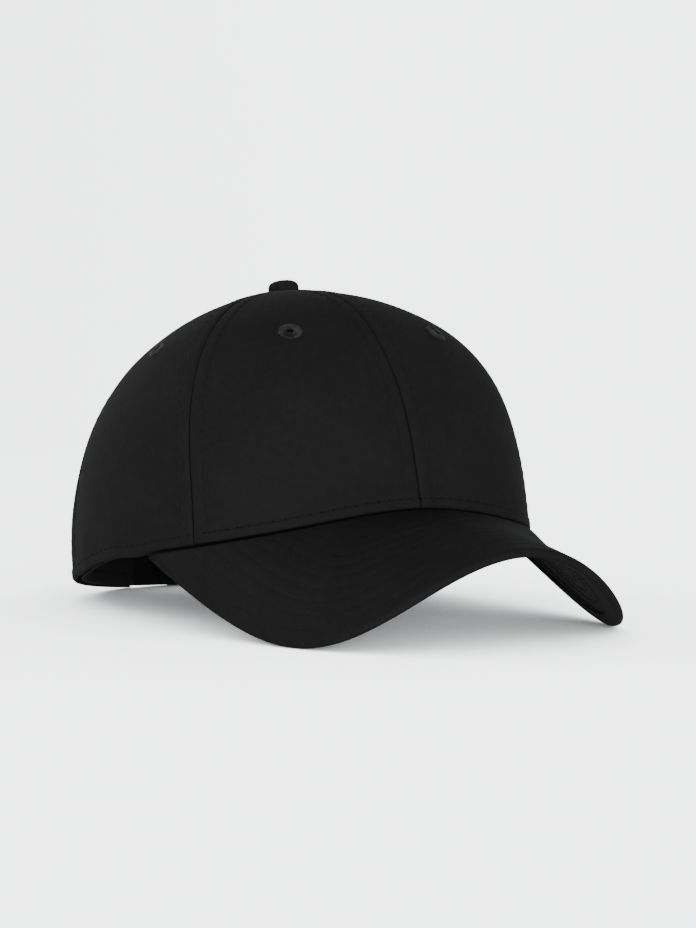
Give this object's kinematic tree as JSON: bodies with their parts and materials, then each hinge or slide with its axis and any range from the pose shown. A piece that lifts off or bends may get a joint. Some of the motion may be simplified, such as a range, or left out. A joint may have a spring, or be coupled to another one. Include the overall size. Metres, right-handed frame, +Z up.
{
  "type": "baseball cap",
  "caption": "Structured panelled baseball cap with a curved stiff visor, a button on top, stitched eyelets and an adjustable strap across a rear arch.",
  "frame": {"origin": "middle of the cap's footprint on the table it rests on, at the table's surface", "axes": "-Y is where the visor points, +X is the wearer's left, +Z is up from the table; the crown is tipped back as the cap rests"},
  "size_m": [0.1748, 0.2588, 0.1361],
  "materials": {
    "panel_twill": "black cotton twill, fine diagonal weave, matte",
    "buckram": "stiff dark open weave",
    "seam_tape": "black woven tape with two stitch rows",
    "eyelet_thread": "dark grey satin-stitched thread",
    "button_metal": "plain pressed steel",
    "sweatband_twill": "black twill, folded and stitched",
    "visor_board": "plain moulded sheet",
    "visor_twill": "black cotton twill with stitch rows",
    "visor_lining": "black cotton twill with a turned edge",
    "strap_twill": "black twill, edge stitched",
    "hook_fastener": "black nylon hooks",
    "loop_fastener": "black nylon loops, fuzzy",
    "blank_label": "plain pale woven label"
  },
  "bodies": {
    "crown": {"front_panel_left": "panel_twill", "side_panel_left": "panel_twill", "back_panel_left": "panel_twill", "front_panel_right": "panel_twill", "side_panel_right": "panel_twill", "back_panel_right": "panel_twill", "front_buckram_left": "buckram", "front_buckram_right": "buckram", "seam_tape_front": "seam_tape", "seam_tape_front_left": "seam_tape", "seam_tape_front_right": "seam_tape", "seam_tape_back_left": "seam_tape", "seam_tape_back_right": "seam_tape", "seam_tape_back": "seam_tape", "front_eyelet_left": "eyelet_thread", "side_eyelet_left": "eyelet_thread", "back_eyelet_left": "eyelet_thread", "front_eyelet_right": "eyelet_thread", "side_eyelet_right": "eyelet_thread", "back_eyelet_right": "eyelet_thread", "button_cover": "panel_twill", "button_shell": "button_metal", "button_rivet": "button_metal", "sweatband": "sweatband_twill", "arch_binding": "seam_tape", "visor_board": "visor_board", "visor_top_cover": "visor_twill", "visor_under_cover": "visor_lining", "hook_strap_sewn_end": "strap_twill", "care_label": "blank_label"},
    "loop_strap": {"loop_strap": "strap_twill", "loop_tape": "loop_fastener"},
    "hook_strap": {"hook_strap": "strap_twill", "hook_tape": "hook_fastener"}
  },
  "joints": [
    {"name": "hook_strap_peel", "type": "hinge", "parent": "crown", "child": "hook_strap", "pos_m": [-0.02592, 0.1248, 0.0108], "axis": [0.0453, 0.046, 0.9979], "range_deg": [0, 75]},
    {"name": "strap_adjust", "type": "hinge", "parent": "crown", "child": "loop_strap", "pos_m": [0, 0.03872, 0.01712], "axis": [0, 0.1952, 0.9808], "range_deg": [0, 8]}
  ]
}
